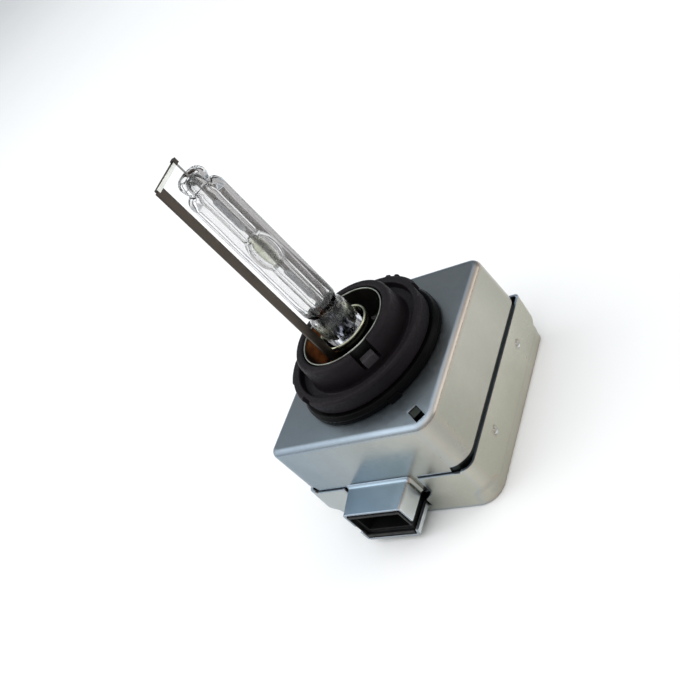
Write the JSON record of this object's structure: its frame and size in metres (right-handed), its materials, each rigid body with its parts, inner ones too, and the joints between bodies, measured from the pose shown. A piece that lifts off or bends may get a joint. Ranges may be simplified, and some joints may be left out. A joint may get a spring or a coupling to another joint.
{
  "type": "headlight bulb",
  "caption": "Gas-discharge headlamp bulb: quartz burner in a keyed black collar on a steel igniter box with a side connector.",
  "frame": {"origin": "centre of the rear cover's flat back face, on the burner's axis", "axes": "+Z along the burner axis towards its tip, -Y towards the connector's mouth, +X across the box"},
  "size_m": [0.0426, 0.05, 0.082],
  "materials": {
    "front_steel": "plated sheet steel, satin, cool blue-grey",
    "rear_steel": "plated sheet steel, satin, warm grey",
    "housing_plastic": "matt black moulding",
    "collar_plastic": "satin near-black moulding",
    "seal_rubber": "smooth black rubber",
    "bright_steel": "bright drawn sleeve",
    "amber_plastic": "glossy amber-brown moulding",
    "cup_steel": "bright nickel with a faint yellow tint",
    "grey_plastic": "matt dark grey moulding",
    "outer_quartz": "clear fused quartz",
    "arc_quartz": "clear fused quartz, faintly yellow-green",
    "tungsten": "drawn tungsten rod",
    "seal_foil": "thin molybdenum foil",
    "lead_wire": "drawn molybdenum wire",
    "strip_steel": "dull brown-grey rolled strip",
    "connector_plastic": "matt black moulding",
    "contact_metal": "tinned brass",
    "board": "green glass-fibre board",
    "ferrite": "sintered dark grey ferrite",
    "bobbin_plastic": "grey moulding",
    "copper": "enamelled copper wire, wound",
    "capacitor_film": "glossy blue dipped film",
    "gap_ceramic": "white sintered ceramic",
    "resistor_body": "beige lacquered ceramic"
  },
  "bodies": {
    "root": {"front_shell": "front_steel", "rear_cover": "rear_steel", "inner_housing": "housing_plastic", "base_collar": "collar_plastic", "seal_ring": "seal_rubber", "holder_sleeve": "bright_steel", "insulator_core": "amber_plastic", "burner_cup": "cup_steel", "window_tab": "grey_plastic", "outer_tube": "outer_quartz", "arc_tube": "arc_quartz", "upper_electrode": "tungsten", "upper_foil": "seal_foil", "upper_lead": "lead_wire", "lower_electrode": "tungsten", "lower_foil": "seal_foil", "lower_lead": "lead_wire", "return_strip": "strip_steel", "weld_lug": "strip_steel", "connector_body": "connector_plastic", "supply_pin": "contact_metal", "return_pin": "contact_metal", "circuit_board": "board", "transformer_core": "ferrite", "transformer_bobbin": "bobbin_plastic", "winding_1": "copper", "winding_2": "copper", "winding_3": "copper", "winding_4": "copper", "winding_5": "copper", "pulse_capacitor": "capacitor_film", "spark_gap": "gap_ceramic", "bleed_resistor": "resistor_body", "suppressor_choke": "ferrite", "hv_contact": "contact_metal", "return_terminal": "contact_metal"}
  },
  "joints": []
}
